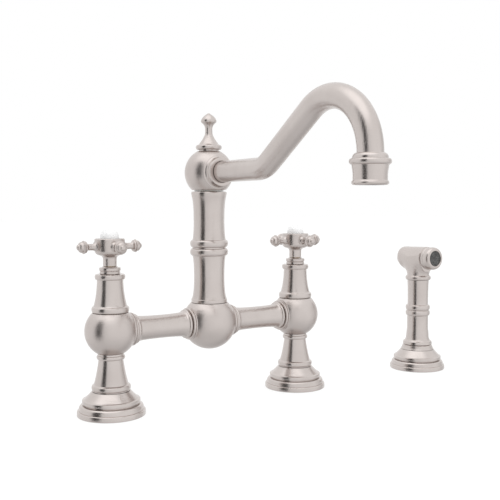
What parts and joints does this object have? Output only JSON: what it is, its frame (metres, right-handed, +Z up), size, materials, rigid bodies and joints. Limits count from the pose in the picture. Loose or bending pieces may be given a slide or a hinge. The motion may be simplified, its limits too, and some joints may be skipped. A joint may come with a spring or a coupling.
{
  "type": "bridge kitchen faucet with side spray",
  "caption": "Traditional bridge faucet: ball-bodied valves with cross handles, a turned column, a swinging swan-neck spout and a side spray.",
  "frame": {"origin": "on the countertop, midway between the axes of the two inlets and under the column", "axes": "+X along the bridge towards the side spray, -Y towards the sink and along the spout, +Z up"},
  "size_m": [0.4381, 0.2762, 0.2808],
  "materials": {
    "satin_nickel": "satin",
    "brass": "machined",
    "steel": "plain",
    "porcelain": "glazed white",
    "ceramic": "lapped",
    "rubber": "matte",
    "nylon": "matte",
    "dark_plastic": "matte"
  },
  "bodies": {
    "faucet_body": {"left_flange": "satin_nickel", "left_gasket": "rubber", "left_shank": "brass", "left_leg": "satin_nickel", "left_valve_body": "satin_nickel", "left_bonnet": "satin_nickel", "left_gland_nut": "satin_nickel", "left_cartridge": "brass", "left_fixed_disc": "ceramic", "right_flange": "satin_nickel", "right_gasket": "rubber", "right_shank": "brass", "right_leg": "satin_nickel", "right_valve_body": "satin_nickel", "right_bonnet": "satin_nickel", "right_gland_nut": "satin_nickel", "right_cartridge": "brass", "right_fixed_disc": "ceramic", "left_bridge_tube": "satin_nickel", "right_bridge_tube": "satin_nickel", "centre_body": "satin_nickel", "diverter_cage": "brass", "diverter_spring": "steel", "column": "satin_nickel", "swivel_post": "brass", "swivel_washer": "nylon", "swivel_lower_o_ring": "rubber", "swivel_upper_o_ring": "rubber", "spray_flange": "satin_nickel", "spray_gasket": "rubber", "spray_holder": "satin_nickel", "spray_liner": "nylon"},
    "left_handle_body": {"left_handle": "satin_nickel", "left_handle_screw": "steel", "left_index_cap": "porcelain", "left_spindle": "brass", "left_moving_disc": "ceramic"},
    "right_handle_body": {"right_handle": "satin_nickel", "right_handle_screw": "steel", "right_index_cap": "porcelain", "right_spindle": "brass", "right_moving_disc": "ceramic"},
    "spout_body": {"top_ball": "satin_nickel", "finial": "satin_nickel", "spout_collar": "satin_nickel", "spout_tube": "satin_nickel", "nozzle": "satin_nickel", "aerator_housing": "dark_plastic", "aerator_screen": "steel", "aerator_washer": "rubber"},
    "handspray_body": {"spray_inlet": "brass", "spray_grip": "satin_nickel", "spray_head": "satin_nickel", "spray_bezel": "satin_nickel", "spray_face": "dark_plastic"},
    "spray_button_body": {"spray_button": "satin_nickel"},
    "diverter_piston_body": {"diverter_piston": "nylon"}
  },
  "joints": [
    {"name": "left_handle_turn", "type": "hinge", "parent": "faucet_body", "child": "left_handle_body", "pos_m": [-0.1016, 0, 0.1514], "axis": [0, 0, 1], "range_deg": [0, 90]},
    {"name": "right_handle_turn", "type": "hinge", "parent": "faucet_body", "child": "right_handle_body", "pos_m": [0.1016, 0, 0.1514], "axis": [0, 0, -1], "range_deg": [0, 90]},
    {"name": "spout_swivel", "type": "hinge", "parent": "faucet_body", "child": "spout_body", "pos_m": [0, 0, 0.2], "axis": [0, 0, 1], "continuous": true},
    {"name": "spray_lift", "type": "slide", "parent": "faucet_body", "child": "handspray_body", "axis": [0, 0, 1], "range_m": [0, 0.06]},
    {"name": "spray_button_push", "type": "slide", "parent": "handspray_body", "child": "spray_button_body", "axis": [0, -0.9995, 0.0314], "range_m": [0, 0.0025], "stiffness_N_per_m": 400},
    {"name": "diverter_slide", "type": "slide", "parent": "faucet_body", "child": "diverter_piston_body", "axis": [0, 0, 1], "range_m": [0, 0.004], "stiffness_N_per_m": 150, "deforming": ["diverter_spring"]}
  ]
}
